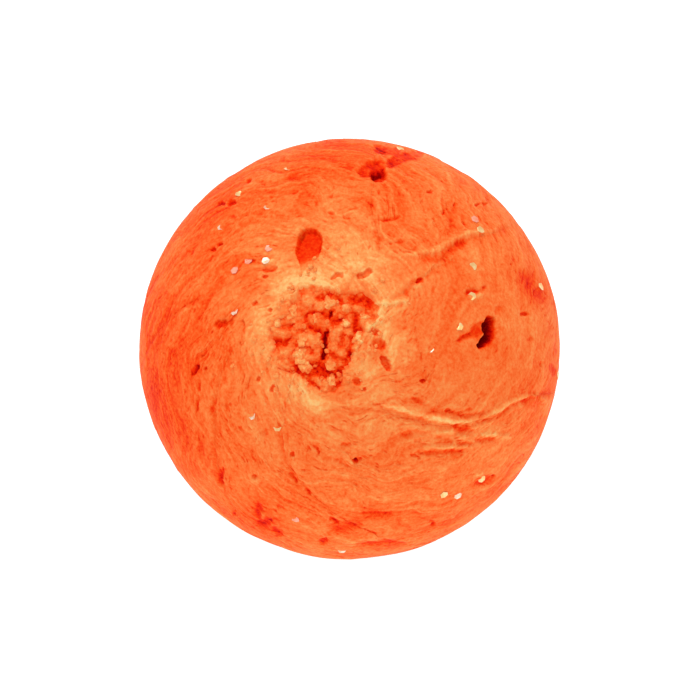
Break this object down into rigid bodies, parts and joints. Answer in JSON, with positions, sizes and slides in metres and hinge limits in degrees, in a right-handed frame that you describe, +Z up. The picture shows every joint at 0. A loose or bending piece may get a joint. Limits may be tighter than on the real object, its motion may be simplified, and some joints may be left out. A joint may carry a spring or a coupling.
{
  "type": "bait paste ball",
  "caption": "Hand-kneaded ball of soft orange bait paste with glitter: folds gathered round an open, crumbly crater over a crumbly core, on a small flat foot.",
  "frame": {"origin": "middle of the flat foot, on the table top", "axes": "+Z up, away from the table; the crater looks towards -Y, 48 degrees up and 10 degrees towards -X; +X to the right of someone who faces it"},
  "size_m": [0.0397, 0.04, 0.0392],
  "materials": {
    "kneaded_paste": "satin",
    "crumbly_paste": "matte",
    "gold_film": "gloss",
    "silver_film": "gloss",
    "pink_film": "gloss"
  },
  "bodies": {
    "root": {"underside_skin": "kneaded_paste", "lower_fold": "kneaded_paste", "right_fold": "kneaded_paste", "upper_right_fold": "kneaded_paste", "upper_left_fold": "kneaded_paste", "left_fold": "kneaded_paste", "lower_left_fold": "kneaded_paste", "inner_core": "crumbly_paste", "crumb_bed": "crumbly_paste", "large_crumbs": "crumbly_paste", "small_crumbs": "crumbly_paste", "rim_crumbs": "crumbly_paste", "right_pit_crumbs": "crumbly_paste", "top_pit_crumbs": "crumbly_paste", "gold_flakes": "gold_film", "silver_flakes": "silver_film", "pink_flakes": "pink_film"}
  },
  "joints": []
}
